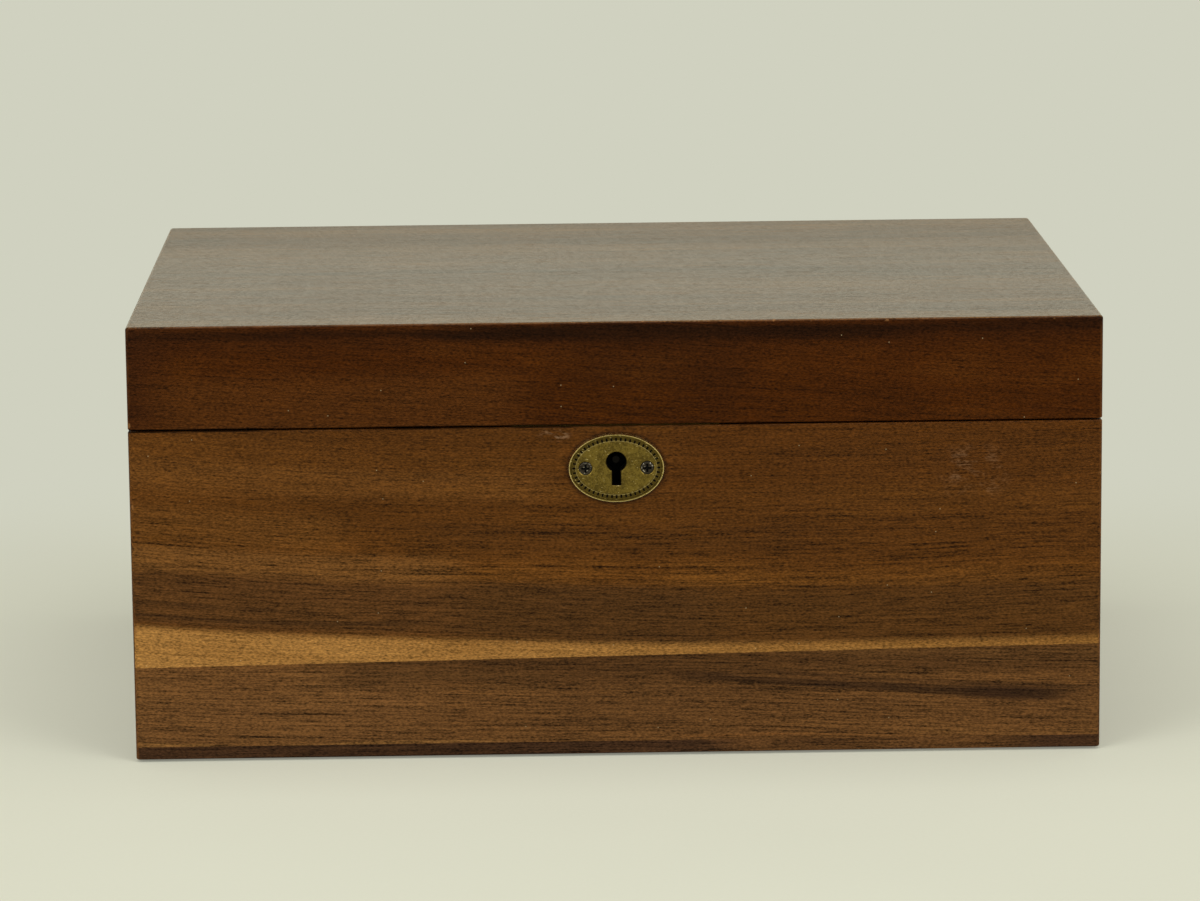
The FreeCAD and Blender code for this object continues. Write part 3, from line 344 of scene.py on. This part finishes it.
def walnutFinish(name, wood):
    look = newFinish(name)
    spot = x, y, z = look.place()
    along, aside = (x, y) if wood["grain"] == "x" else (y, x)
    up = z - woodFoot + along * wood.get("lean", 0.0)
    sap = wood.get("sap")
    if sap:
        climb = sapClimb(look, x, sap)
        up = up - climb
    run = along + wood["shift"]
    wander = look.noise(run * wanders["along"], aside * wanders["aside"], up * wanders["up"], detail=1.0)
    wander = wander - 0.5
    up = up + wander * wanders["reach"]

    def figure(kind):
        perAlong, perAcross, detail = figures[kind]
        return look.noise(run * perAlong, aside * perAcross, up * perAcross, detail) - 0.5

    broad, streak, fibre = figure("broad"), figure("streak"), figure("fibre")
    dash, hairline, cloud = figure("dash"), figure("hairline"), figure("cloud")
    slant = (aside + z) * gritCells["slant"]  # keeps the fine grit off the rows and columns of the picture
    drift = along * gritCells["drift"]
    grit = look.noise(along * gritCells["along"] + slant, aside * gritCells["across"] - drift,
                      z * gritCells["across"] - drift, detail=1.0) - 0.5
    tone = 0.5 + broad * wood["bands"] + streak * wood["streaks"] + cloud * wood.get("clouds", 0.3)
    stops = list(zip(grainMix["toneStops"], (wood["dark"], wood["mid"], wood["light"])))
    colour = look.node("ValToRGB", {"stops": stops}, {"Fac": tone})

    for level, fall, width, soft, start, end, share, stain in wood.get("marks", []):
        waver = (streak + fibre * markEdge["fibre"]) * markEdge["waver"]
        off = look.apart(up + along * fall + waver - level * mm)
        line = 1 - look.rise(off, width * 0.5 * mm, (width * 0.5 + soft) * mm)
        begins, ends = [((at - markEdge["fade"]) * mm, (at + markEdge["fade"]) * mm) for at in (start, end)]
        colour = look.blend(line * look.span(along, begins, ends) * share, colour, stain)

    pore = dash + fibre * grainMix["poreFibre"] - broad * grainMix["poreBroad"]
    pore = look.rise(pore, *grainMix["poreFrom"])
    longLine = hairline - broad * grainMix["lineBroad"]  # sparse, thicker in the dark bands
    longLine = look.rise(longLine, *grainMix["lineFrom"])
    grain = fibre * grainMix["fibre"] + dash * grainMix["dash"]
    grain = grain - pore * grainMix["pore"] - longLine * grainMix["longLine"]
    grain = grain * wood.get("contrast", 1.0)
    if "calm" in wood:
        grain = grain * (1 - look.rise(up, *wood["calm"]) * wood["calmShare"])
    if sap:
        edge = wander * sap["edgeWander"] + fibre * sap["edgeFibre"]
        golden = 1 - look.rise(z - (woodFoot + sap["lowest"]) - climb + edge, *sap["fade"])
        mix = sap["toneMix"]
        sapTone = fibre * mix["fibre"] + streak * mix["streak"] + cloud * mix["cloud"] - x * mix["toLeft"]
        sapColour = look.blend(look.rise(sapTone, *sap["toneFrom"]), sap["deep"], sap["colour"])
        colour = look.blend(golden, colour, sapColour)
        grain = grain * (1 - golden * sap["calm"])
    scale = look.higher(1 + grain + grit * grainMix["speckle"], grainMix["darkest"])
    colour = look.node("VectorMath", {"operation": "SCALE"}, {0: colour, "Scale": scale})

    scuff = wear["scuff"]
    for across, level, reachX, reachZ, strength in wood.get("scuffs", []):
        offX = (x - across * mm) / (reachX * mm)
        offZ = (z - woodFoot - level * mm) / (reachZ * mm)
        ragged = look.noise(x * scuff["slant"][0] + z * scuff["slant"][1], 0.0, z * scuff["up"])
        patch = (1 - look.rise(offX * offX + offZ * offZ, 0.0, 1.0)) * look.rise(ragged, *scuff["pick"])
        patch = patch * look.rise(grit + fibre, *scuff["grain"])
        colour = look.blend(patch * strength, colour, scuff["colour"])

    # arrises: near two of the outer faces at once, rubbed at the lid's top and the corners; at the joint
    # between lid and box, painted shade
    toSide = look.apart(x) - (halfWidth - wear["arris"])
    toFront = look.apart(y) - (halfDepth - wear["arris"])
    toFace = look.higher(toSide, toFront)
    toCrown = wear["arris"] - look.apart(z - crown)
    toJoint = wear["arris"] - look.lower(look.apart(z - rim), look.apart(z - lidFoot))
    corner = look.higher(look.lower(toSide, toFront), look.lower(toCrown, toFace))
    rubbed = wornShare(look, spot, wear["rubbed"], corner)
    nick = wornShare(look, spot, wear["nick"], corner)
    # painted shade in the joint between lid and box
    jointShade = wornShare(look, spot, wear["jointShade"], look.lower(toJoint, toFace))
    for share, kind in ((rubbed, "rubbed"), (nick, "nick"), (jointShade, "jointShade")):
        colour = look.blend(share * wear[kind]["share"], colour, wear[kind]["colour"])
    speck = wear["speck"]
    rowUp = aside if "lies" in wood else z
    specks = look.spots(along, rowUp, speck["perMetre"], speck["radius"], speck["kept"])
    colour = look.blend(specks * speck["share"], colour, speck["colour"])

    if sap:  # painted shade: black walls in the keyhole, and a painted contact shadow round its plate
        keyhole, roundPlate = wear["keyhole"], wear["roundPlate"]
        offX, offZ = x - plateMiddle.x, z - plateMiddle.z
        near = 1 - look.rise(offX * offX + offZ * offZ, *[reach ** 2 for reach in keyhole["reach"]])
        colour = look.blend(near * look.rise(y + halfDepth, *keyhole["depth"]), colour, keyhole["colour"])
        byPlate = look.rise(plateInset(look, x, z), -roundPlate["reach"], 0.0)
        colour = look.blend(byPlate * roundPlate["share"], colour, roundPlate["colour"])

    mix = lacquer["rough"]
    roughness = lacquer["gloss"] + (cloud + streak) * mix["figure"]
    roughness = roughness + rubbed * mix["rubbed"] + pore * mix["pore"]
    mix = lacquer["relief"]
    height = fibre * mix["fibre"] - pore * mix["pore"] + cloud * mix["cloud"] + grit * mix["grit"]
    mix = lacquer["coatMix"]
    coat = 1 - pore * mix["pore"] + (dash + fibre) * mix["grain"] + grit * mix["grit"]
    coat = wood.get("coat", lacquer["coat"]) * coat
    if "dullStreaks" in wood:  # lacquer that has sunk along the grain, and is duller towards the back
        mix = lacquer["topMix"]
        sunk = look.rise(figure("sunk"), *mix["sunkFrom"]) * wood["dullStreaks"]
        coat = coat * (1 - sunk + grit * mix["grit"] - longLine * mix["longLine"])
        coat = coat * (1 - look.rise(y, 0.0, halfDepth) * mix["toBack"])
    return look.surface({
        "Base Color": colour, "Roughness": roughness,
        "Normal": look.bump(lacquer["bump"], lacquer["poreDepth"], height),
        "Specular IOR Level": lacquer["specular"], "Coat Weight": coat * (1 - jointShade),
        "Coat Roughness": lacquer["coatGloss"], "Coat IOR": lacquer["coatIor"],
        "Sheen Weight": wood.get("haze", 0.0), "Sheen Roughness": lacquer["hazeSpread"],
        "Sheen Tint": lacquer["hazeTint"],
    })


for boardName, board in walnuts.items():
    dress(walnutFinish("walnut_" + boardName, board), *board["nodes"])
print("walnut on", len(walnuts), "groups of boards")

# Bottom board: plain birch ply, between the two felts
ply = {
    "pale": linear(176, 143, 100), "deep": linear(146, 112, 72), "fleck": linear(92, 62, 36),
    "wander": (6, 12), "wave": (4, 60), "fibre": (60, 2400), "flecks": (120, 1500),  # cells along, across
    "stray": 4, "toneFrom": (0.3, 0.7), "toneFibre": 0.5, "fleckFrom": (0.66, 0.74), "fleckShare": 0.4,
    "gloss": 0.6, "roughFibre": 0.15, "bump": 0.3, "fibreDepth": 0.05 * mm,
}


def plyFinish():
    look = newFinish("birch_ply")
    x, y, z = look.place()

    def figure(kind, detail, stray=None):
        perAlong, perAcross = ply[kind]
        aside = y * perAcross if stray is None else y * perAcross + stray * ply["stray"]
        return look.noise(x * perAlong, aside, z * perAcross, detail)

    wave = figure("wave", 4.0, stray=figure("wander", 2.0) - 0.5)
    fibre = figure("fibre", 1.0)
    fleck = look.rise(figure("flecks", 1.0), *ply["fleckFrom"])
    tone = look.rise(wave + (fibre - 0.5) * ply["toneFibre"], *ply["toneFrom"])
    colour = look.blend(tone, ply["deep"], ply["pale"])
    colour = look.blend(fleck * ply["fleckShare"], colour, ply["fleck"])
    return look.surface({
        "Base Color": colour, "Roughness": ply["gloss"] + (fibre - 0.5) * ply["roughFibre"],
        "Normal": look.bump(ply["bump"], ply["fibreDepth"], fibre - fleck),
    })


dress(plyFinish(), "bottom_panel")

# Keyhole plate: antique brass, black in its pits and bright on the rubbed rim, with a painted highlight that
# makes the rim brighter at its left and right ends
plateBrass = {
    "field": linear(124, 104, 46), "patina": linear(58, 46, 18), "rubbed": linear(246, 222, 152),
    "black": linear(10, 8, 5), "gloss": 0.42, "specular": 0.1, "bump": 0.5, "dent": 0.04 * mm,
    "rough": {"tarnish": 0.22, "deep": 0.4, "rubbed": 0.2}, "relief": {"fine": 0.5, "scratch": 0.2},
    "cloudCells": 420, "fineCells": 2200,  # in a metre
    "scratchX": (500, 2400), "scratchY": 900, "scratchZ": (700, 500),  # cells, those of x and z slanting
    "tarnishFrom": (0.38, 0.64), "tarnishShare": 0.7, "scratchFrom": (0.66, 0.74), "scratchShare": 0.5,
    "rubbedFrom": (0.25, 0.5),
    # how far in from the outline: where each begins, then where it ends
    "rim": (0.434 * mm, 0.651 * mm),
    "groove": ((0.62 * mm, 0.868 * mm), (2.7 * mm, 2.835 * mm)), "grooveShare": 0.3,
    "pitRing": ((1.25 * mm, 1.45 * mm), (2.45 * mm, 2.65 * mm)), "pitRingShare": 0.35,
    "ledge": ((2.55 * mm, 2.7 * mm), (2.8 * mm, 3.05 * mm)), "ledgeShare": 0.25,
    "ends": (4 * mm, 12 * mm), "endsShare": 0.25,  # a painted highlight on the rubbed rim, rising over this far from the middle, so brightest at its left and right ends
    "standing": 0.4 * mm,  # the rim stands this far proud of the flat field
    "pitsFrom": (1.2 * mm, 1.3 * mm),  # in from the outline
    "pitDepth": (0.16 * mm, 0.19 * mm),  # below the field, where the black begins
}


def antiqueBrassFinish():
    look = newFinish("antique_brass")
    spot = x, y, z = look.place()
    inset = plateInset(look, x, z)
    cloud = look.lumps(spot, plateBrass["cloudCells"], detail=4.0)
    fine = look.lumps(spot, plateBrass["fineCells"])
    (rowX, rowZ), (fallX, fallZ) = plateBrass["scratchX"], plateBrass["scratchZ"]
    scratch = look.noise(x * rowX + z * rowZ, y * plateBrass["scratchY"], z * fallZ - x * fallX, detail=1.0)
    scratch = look.rise(scratch, *plateBrass["scratchFrom"])
    tarnish = look.rise(cloud * 0.5 + fine * 0.5, *plateBrass["tarnishFrom"])
    colour = look.blend(tarnish * plateBrass["tarnishShare"], plateBrass["field"], plateBrass["patina"])
    groove = look.span(inset, *plateBrass["groove"]) * plateBrass["grooveShare"]
    pitRing = look.span(inset, *plateBrass["pitRing"]) * plateBrass["pitRingShare"]
    colour = look.blend(groove + pitRing, colour, plateBrass["patina"])  # darkest among the pits
    # painted highlight: the rubbed rim brighter still at its left and right ends
    highlightAtEnds = look.rise(look.apart(x - plateMiddle.x), *plateBrass["ends"]) * plateBrass["endsShare"]
    rubbed = (1 - look.rise(inset, *plateBrass["rim"])) * (1 - plateBrass["endsShare"] + highlightAtEnds)
    rubbed = look.higher(rubbed, look.span(inset, *plateBrass["ledge"]) * plateBrass["ledgeShare"])
    colour = look.blend(rubbed * look.rise(fine, *plateBrass["rubbedFrom"]), colour, plateBrass["rubbed"])
    colour = look.blend(scratch * plateBrass["scratchShare"], colour, plateBrass["rubbed"])
    depth = y - (plateLow.y + plateBrass["standing"])  # below the flat field
    deep = look.rise(depth, *plateBrass["pitDepth"]) * look.rise(inset, *plateBrass["pitsFrom"])
    colour = look.blend(deep, colour, plateBrass["black"])
    mix = plateBrass["rough"]
    roughness = plateBrass["gloss"] + (tarnish - 0.5) * mix["tarnish"] + deep * mix["deep"]
    relief = cloud + fine * plateBrass["relief"]["fine"] - scratch * plateBrass["relief"]["scratch"]
    return look.surface({
        "Base Color": colour, "Metallic": 1 - deep, "Roughness": roughness - rubbed * mix["rubbed"],
        "Normal": look.bump(plateBrass["bump"], plateBrass["dent"], relief),
        "Specular IOR Level": plateBrass["specular"],
    })


dress(antiqueBrassFinish(), "escutcheon")

# Other fittings: rolled or turned metal with a faint grain and stains; on the keyhole plate's screws, painted
# glints
metalLook = {
    "cloudCells": 160, "glintCells": 1500, "brushAlong": 120, "brushAcross": 5200,  # in a metre
    "stainFrom": (0.5, 0.72), "glintFrom": (0.6, 0.68), "black": linear(10, 9, 8),
    "brushShare": 0.3, "brightShare": 0.04, "rough": {"brushed": 0.25, "stain": 0.15, "deep": 0.3},
    "specular": 0.1, "bump": 0.25, "brushDepth": 0.02 * mm,
    "lockShadeFrom": (1.2 * mm, 0.9 * mm),  # before the lock plate's back
    "lockShadeBelow": (1.9 * mm, 1.5 * mm),  # under the rim
    "recess": 0.12 * mm,  # before the keyhole plate's field
}


def insideLock(look, x, y, z):  # the lock plate's hidden face below the selvage, painted black as shade, seen through the keyhole
    hidden = 1 - look.rise(y, *[lockBack - depth for depth in metalLook["lockShadeFrom"]])
    return hidden * (1 - look.rise(z, *[rim - depth for depth in metalLook["lockShadeBelow"]]))


def crossRecess(look, x, y, z):  # the drive of the keyhole plate's screws, painted black as shade in the recess
    fieldFace = plateLow.y + plateBrass["standing"]
    return look.rise(y, fieldFace - metalLook["recess"], fieldFace)


brassTones = {"colour": linear(206, 172, 96), "tarnish": linear(128, 96, 44), "bright": linear(236, 212, 148)}
metals = {
    "satin_brass": {
        "nodes": ["left_hinge_body_leaf", "left_hinge_lid_leaf", "left_hinge_pin",
                  "right_hinge_body_leaf", "right_hinge_lid_leaf", "right_hinge_pin", "strike_plate"],
        **brassTones, "stains": 0.5, "gloss": 0.32,
    },
    "lock_brass": {
        "nodes": ["lock_plate"],
        **brassTones, "stains": 0.5, "gloss": 0.32, "deep": insideLock,
    },
    "lock_steel": {
        "nodes": ["lock_bolt", "lock_spring"],
        "colour": linear(150, 150, 148), "tarnish": linear(84, 78, 70), "bright": linear(196, 196, 194),
        "stains": 0.55, "gloss": 0.36,
    },
    "black_steel": {
        "nodes": ["lock_case", "key_pin"],
        "colour": linear(24, 22, 20), "tarnish": linear(14, 12, 11), "bright": linear(48, 46, 42),
        "stains": 0.5, "gloss": 0.5,
    },
    "brass_screws": {
        "nodes": ["hinge_body_screws", "hinge_lid_screws", "lock_screws", "strike_screws"],
        "colour": linear(172, 138, 70), "tarnish": linear(88, 64, 28), "bright": linear(226, 198, 132),
        "stains": 0.6, "gloss": 0.3,
    },
    "bronzed_steel": {
        "nodes": ["escutcheon_screws"],
        "colour": linear(46, 39, 31), "tarnish": linear(20, 16, 13), "bright": linear(196, 188, 172),
        "stains": 0.8, "gloss": 0.2, "glints": 0.9, "deep": crossRecess,
    },
}


def metalFinish(name, metal):
    look = newFinish(name)
    spot = x, y, z = look.place()
    deep = metal["deep"](look, x, y, z) if "deep" in metal else 0.0
    cloud = look.lumps(spot, metalLook["cloudCells"], detail=4.0)
    brushed = look.noise(x * metalLook["brushAlong"], y * metalLook["brushAcross"],
                         z * metalLook["brushAcross"])
    stain = look.rise(cloud, *metalLook["stainFrom"])
    glint = look.rise(look.lumps(spot, metalLook["glintCells"], detail=1.0), *metalLook["glintFrom"])
    colour = look.blend(stain * metal["stains"], metal["colour"], metal["tarnish"])
    shine = (brushed - 0.5) * metalLook["brushShare"] + metalLook["brightShare"]
    colour = look.blend(shine, colour, metal["bright"])
    # painted glints: bright spots standing in for caught light, on the keyhole plate's screws
    colour = look.blend(glint * metal.get("glints", 0.0), colour, metal["bright"])
    # painted shade: black in the screws' cross recess and on the lock plate's face behind the keyhole
    colour = look.blend(deep, colour, metalLook["black"])
    mix = metalLook["rough"]
    roughness = metal["gloss"] + (brushed - 0.5) * mix["brushed"] + stain * mix["stain"] + deep * mix["deep"]
    return look.surface({
        "Base Color": colour, "Metallic": 1 - deep, "Roughness": roughness,
        "Normal": look.bump(metalLook["bump"], metalLook["brushDepth"], brushed + cloud),
        "Specular IOR Level": metalLook["specular"],
    })


for metalName, metal in metals.items():
    dress(metalFinish(metalName, metal), *metal["nodes"])
print("metal on", len(metals) + 1, "groups of fittings")

# Felt: a lining on the floor inside and a sheet under the base
felts = {
    "floorLining": {
        "node": "floor_lining", "restsOn": "bottom_panel", "held": "laid",
        "corner": 2.0 * mm, "softEdge": 0.35 * mm, "colour": linear(28, 58, 40), "nap": linear(58, 92, 68),
    },
    "baseFelt": {
        "node": "base_felt", "restsOn": "bottom_panel", "held": "stretched",
        "corner": 5.0 * mm, "softEdge": 0.25 * mm, "colour": linear(30, 44, 36), "nap": linear(58, 74, 62),
    },
}
feltLook = {
    "matCells": 900, "matRoughness": 0.7, "wornCells": 18,  # cells in a metre, as in the next line
    "hairAcross": 2600, "hairAlong": 700, "hairSlant": 500,
    "matFrom": (0.3, 0.7), "lintFrom": (0.6, 0.74), "lintShare": 0.35,
    "wornFrom": (0.5, 0.75), "wornShare": 0.3,
    "gloss": 0.9, "roughMat": 0.15, "specular": 0.2, "sheen": 0.35, "sheenSpread": 0.4,
    "bump": 0.8, "reliefLint": 0.5, "napDepth": 0.15 * mm,
}
feltMesh = {"cornerSteps": 8, "edgeSteps": 3, "weld": 1e-6}


def feltFinish(name, felt):
    look = newFinish(name)
    spot = x, y, z = look.place()
    matted = look.lumps(spot, feltLook["matCells"], detail=4.0, roughness=feltLook["matRoughness"])
    across, along, slant = feltLook["hairAcross"], feltLook["hairAlong"], feltLook["hairSlant"]
    hairs = look.noise(x * across + y * slant, y * along, z * across)
    hairsToo = look.noise(x * along, y * across - x * slant, z * across)  # the other way
    worn = look.rise(look.lumps(spot, feltLook["wornCells"], detail=3.0), *feltLook["wornFrom"])
    lint = look.rise(look.higher(hairs, hairsToo), *feltLook["lintFrom"])
    colour = look.blend(look.rise(matted, *feltLook["matFrom"]), felt["colour"], felt["nap"])
    colour = look.blend(lint * feltLook["lintShare"], colour, felt["nap"])
    colour = look.blend(worn * feltLook["wornShare"], colour, felt["nap"])
    return look.surface({
        "Base Color": colour, "Roughness": feltLook["gloss"] + (matted - 0.5) * feltLook["roughMat"],
        "Normal": look.bump(feltLook["bump"], feltLook["napDepth"], matted + lint * feltLook["reliefLint"]),
        "Specular IOR Level": feltLook["specular"],
        "Sheen Weight": feltLook["sheen"], "Sheen Roughness": feltLook["sheenSpread"],
    })


def feltTree():
    # a sheet with rounded corners: its outline is filled, raised to its thickness and closed below
    tree = bpy.data.node_groups.new("feltSheet", "GeometryNodeTree")
    for label in ("Width", "Length", "Thickness", "Corner", "Level"):
        tree.interface.new_socket(label, in_out="INPUT", socket_type="NodeSocketFloat")
    tree.interface.new_socket("Felt", in_out="INPUT", socket_type="NodeSocketMaterial")
    tree.interface.new_socket("Sheet", in_out="OUTPUT", socket_type="NodeSocketGeometry")

    def node(kind, settings=None, **links):
        made = tree.nodes.new(kind)
        for name, value in (settings or {}).items():
            setattr(made, name, value)
        for name, value in links.items():
            socket = made.inputs[name.replace("_", " ")]
            if isinstance(value, bpy.types.NodeSocket):
                tree.links.new(value, socket)
            else:
                socket.default_value = value
        return made

    given = node("NodeGroupInput").outputs
    outline = node("GeometryNodeCurvePrimitiveQuadrilateral", Width=given["Width"], Height=given["Length"])
    rounded = node("GeometryNodeFilletCurve", {"mode": "POLY"}, Curve=outline.outputs[0],
                   Count=feltMesh["cornerSteps"], Radius=given["Corner"], Limit_Radius=True)
    filled = node("GeometryNodeFillCurve", {"mode": "NGONS"}, Curve=rounded.outputs[0])
    raised = node("GeometryNodeExtrudeMesh", {"mode": "FACES"}, Mesh=filled.outputs[0],
                  Offset_Scale=given["Thickness"], Individual=False)
    under = node("GeometryNodeFlipFaces", Mesh=filled.outputs[0])
    joined = node("GeometryNodeJoinGeometry")
    tree.links.new(raised.outputs[0], joined.inputs[0])
    tree.links.new(under.outputs[0], joined.inputs[0])
    closed = node("GeometryNodeMergeByDistance", Geometry=joined.outputs[0], Distance=feltMesh["weld"])
    lift = node("ShaderNodeCombineXYZ", Z=given["Level"])
    lifted = node("GeometryNodeSetPosition", Geometry=closed.outputs[0], Offset=lift.outputs[0])
    solid = node("GeometryNodeRealizeInstances", Geometry=lifted.outputs[0])
    finished = node("GeometryNodeSetMaterial", Geometry=solid.outputs[0], Material=given["Felt"])
    tree.links.new(finished.outputs[0], node("NodeGroupOutput").inputs["Sheet"])
    return tree


def layFelt(name, felt, tree):
    low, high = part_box(felt["node"])
    size = high - low
    seed = bpy.data.objects.new(name + "Seed", bpy.data.meshes.new(name + "Seed"))
    scene.collection.objects.link(seed)
    modifier = seed.modifiers.new("felt", "NODES")
    modifier.node_group = tree
    values = {"Width": size.x, "Length": size.y, "Thickness": size.z, "Corner": felt["corner"],
              "Level": low.z, "Felt": feltFinish(name, felt)}
    for item in tree.interface.items_tree:
        if item.in_out == "INPUT":
            modifier[item.identifier] = values[item.name]
    bevel = seed.modifiers.new("softEdge", "BEVEL")
    bevel.width = felt["softEdge"]
    bevel.segments = feltMesh["edgeSteps"]
    bevel.limit_method = "ANGLE"
    bpy.context.view_layer.update()
    shaped = seed.evaluated_get(bpy.context.evaluated_depsgraph_get())
    mesh = bpy.data.meshes.new_from_object(shaped)
    bpy.data.objects.remove(seed)
    mesh.name = name
    sheet = bpy.data.objects.new(name, mesh)
    scene.collection.objects.link(sheet)
    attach(sheet, "box")
    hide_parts(felt["node"])
    print(name, "laid,", len(mesh.polygons), "faces")


feltShape = feltTree()
for feltName, felt in felts.items():
    layFelt(feltName, felt, feltShape)

# Floor, light and camera
studio = {
    "floorReach": 12.0, "floor": linear(226, 225, 206), "floorShade": linear(214, 213, 194),
    "fineCells": 700, "broadCells": (5, 9), "fineShare": 0.4, "broadShare": 0.6,  # cells in a metre
    "shadeFrom": (0.3, 0.7), "shadeShare": 0.25,
    "backdrop": linear(208, 209, 192), "lift": 0.35,  # share of the backdrop in the floor near the box
    "fade": (0.02, 0.26),  # distances from the box over which the floor turns into the backdrop
    "ambient": 0.45, "target": (0.0, 0.0, 0.06),
    "lamps": {  # place, width, watts
        "overhead": ((0.0, -0.35, 1.7), 1.8, 17.0),
        "leftBox": ((-1.3, -1.4, 1.1), 1.1, 13.0),
        "rightBox": ((1.3, -1.4, 1.1), 1.1, 13.0),
    },
}
shot = {
    "lens": 150.43, "sensor": 36.0, "spot": (-0.03359, -1.62683, 0.37865),  # millimetres, then metres
    "pitch": 10.5271, "yaw": 1.0808, "roll": -0.5463,  # degrees
}


def seenRay(look):  # 1 for what the camera sees, by itself or in a reflection
    camera, glossy, through = (look.node("LightPath", output=f"Is {kind} Ray")
                               for kind in ("Camera", "Glossy", "Transmission"))
    return look.higher(camera, look.higher(glossy, through))


def floorFinish():
    look = newFinish("pale_floor")
    x, y, z = look.place()
    fine = look.noise(x * studio["fineCells"], y * studio["fineCells"], z)
    broad = look.noise(x * studio["broadCells"][0], y * studio["broadCells"][1], z)
    shade = look.rise(fine * studio["fineShare"] + broad * studio["broadShare"], *studio["shadeFrom"])
    shade = shade * studio["shadeShare"]
    colour = look.blend(shade, studio["floor"], studio["floorShade"])
    matte = look.node("BsdfDiffuse", sockets={"Color": colour})
    backdrop = look.node("Emission", sockets={"Color": studio["backdrop"], "Strength": 1.0})
    outX = look.higher(look.apart(x) - halfWidth, 0.0)
    outY = look.higher(y - halfDepth, 0.0)
    distance = look.root(outX * outX + outY * outY)
    far = studio["lift"] + look.rise(distance, *studio["fade"]) * (1 - studio["lift"])
    shown = look.node("MixShader", sockets={0: far * seenRay(look), 1: matte, 2: backdrop})
    look.node("OutputMaterial", sockets={"Surface": shown})
    return look.owner


def addStage():
    reach = studio["floorReach"]
    corners = [(-reach, -reach, 0), (reach, -reach, 0), (reach, reach, 0), (-reach, reach, 0)]
    mesh = bpy.data.meshes.new("studioFloor")
    mesh.from_pydata(corners, [], [(0, 1, 2, 3)])
    mesh.materials.append(floorFinish())
    floor = bpy.data.objects.new("studioFloor", mesh)
    scene.collection.objects.link(floor)
    sky = Finish(bpy.data.worlds.new("studioWorld"))
    scene.world = sky.owner
    strength = studio["ambient"] + seenRay(sky) * (1 - studio["ambient"])
    shown = sky.node("Background", sockets={"Color": studio["backdrop"], "Strength": strength})
    sky.node("OutputWorld", sockets={"Surface": shown})
    for name, (spot, width, watts) in studio["lamps"].items():
        lamp = bpy.data.lights.new(name, "AREA")
        lamp.shape = "SQUARE"
        lamp.size = width
        lamp.energy = watts
        stand = bpy.data.objects.new(name, lamp)
        stand.location = spot
        stand.rotation_euler = (Vector(studio["target"]) - Vector(spot)).to_track_quat("-Z", "Y").to_euler()
        scene.collection.objects.link(stand)


def addCamera():
    lens = bpy.data.cameras.new("studioCamera")
    lens.sensor_fit = "HORIZONTAL"
    lens.sensor_width = shot["sensor"]
    lens.lens = shot["lens"]
    camera = bpy.data.objects.new("studioCamera", lens)
    yaw, pitch, roll = (math.radians(shot[name]) for name in ("yaw", "pitch", "roll"))
    turn = Matrix.Rotation(-yaw, 4, "Z") @ Matrix.Rotation(math.pi / 2 - pitch, 4, "X")
    turn = turn @ Matrix.Rotation(roll, 4, "Z")
    camera.matrix_world = Matrix.Translation(shot["spot"]) @ turn
    scene.collection.objects.link(camera)
    scene.camera = camera


addStage()
addCamera()
print("studio ready")
